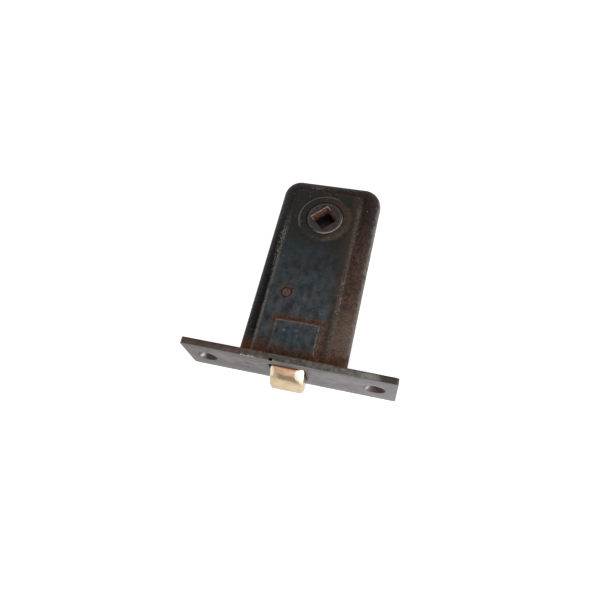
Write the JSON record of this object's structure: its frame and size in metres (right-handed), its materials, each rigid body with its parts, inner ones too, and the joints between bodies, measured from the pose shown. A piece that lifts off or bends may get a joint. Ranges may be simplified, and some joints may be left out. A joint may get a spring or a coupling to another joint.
{
  "type": "mortise latch lock",
  "caption": "Passage mortise lock: round-edged steel case, flat faceplate with countersunk holes, square-holed turning hub and a sprung beveled brass latch bolt.",
  "frame": {"origin": "bottom centre of the whole lock's box, lying on its broad side with the latch bolt out", "axes": "+X along the faceplate, +Y from the latch bolt into the door towards the case's far end, +Z square to the case's broad sides, towards the side that the bolt's bevel faces"},
  "size_m": [0.0826, 0.0922, 0.0226],
  "materials": {
    "blackened_steel": "pressed steel, blue-black oxide, worn to bare metal on ridges and rusted near the faceplate",
    "plate_steel": "flat steel worn to a dull grey, tarnished brown in places",
    "rusty_steel": "peened rivet end with brown rust",
    "hub_iron": "machined iron, brown patina",
    "brass": "polished by use, tarnished smear on the bevel",
    "spring_steel": "oiled round wire",
    "plain_steel": "oiled stamped and turned steel, dull"
  },
  "bodies": {
    "case": {"faceplate": "plate_steel", "upper_case_half": "blackened_steel", "lower_case_half": "blackened_steel", "case_rivet": "rusty_steel", "spring_bracket": "plain_steel", "bracket_rivet_left": "plain_steel", "bracket_rivet_right": "plain_steel", "front_lug_left": "plain_steel", "front_lug_right": "plain_steel", "front_rivet_left": "plate_steel", "front_rivet_right": "plate_steel", "yoke_spring_left": "spring_steel", "yoke_spring_right": "spring_steel"},
    "hub": {"hub": "hub_iron"},
    "yoke": {"yoke": "plain_steel", "spring_guide_left": "plain_steel", "spring_guide_right": "plain_steel", "latch_spring": "spring_steel"},
    "latch_bolt": {"latch_bolt_head": "brass", "tail_rod": "plain_steel", "tail_pin": "plain_steel", "latch_spring_washer": "plain_steel", "tail_washer": "plain_steel", "tail_nut": "plain_steel"}
  },
  "joints": [
    {"name": "hub_turn", "type": "hinge", "parent": "case", "child": "hub", "pos_m": [0.0004, 0.02595, 0.0113], "axis": [0, 0, 1], "range_deg": [0, 42]},
    {"name": "yoke_slide", "type": "slide", "parent": "case", "child": "yoke", "axis": [0, 1, 0], "range_m": [0, 0.0075], "stiffness_N_per_m": 570, "springref_m": -0.0123, "deforming": ["yoke_spring_left", "yoke_spring_right"]},
    {"name": "latch_push", "type": "slide", "parent": "yoke", "child": "latch_bolt", "axis": [0, 1, 0], "range_m": [0, 0.0063], "stiffness_N_per_m": 300, "springref_m": -0.012, "deforming": ["latch_spring"]}
  ],
  "couplings": [
    {"joint": "hub_turn", "follows": "yoke_slide", "rad_per_m": 97.738}
  ]
}
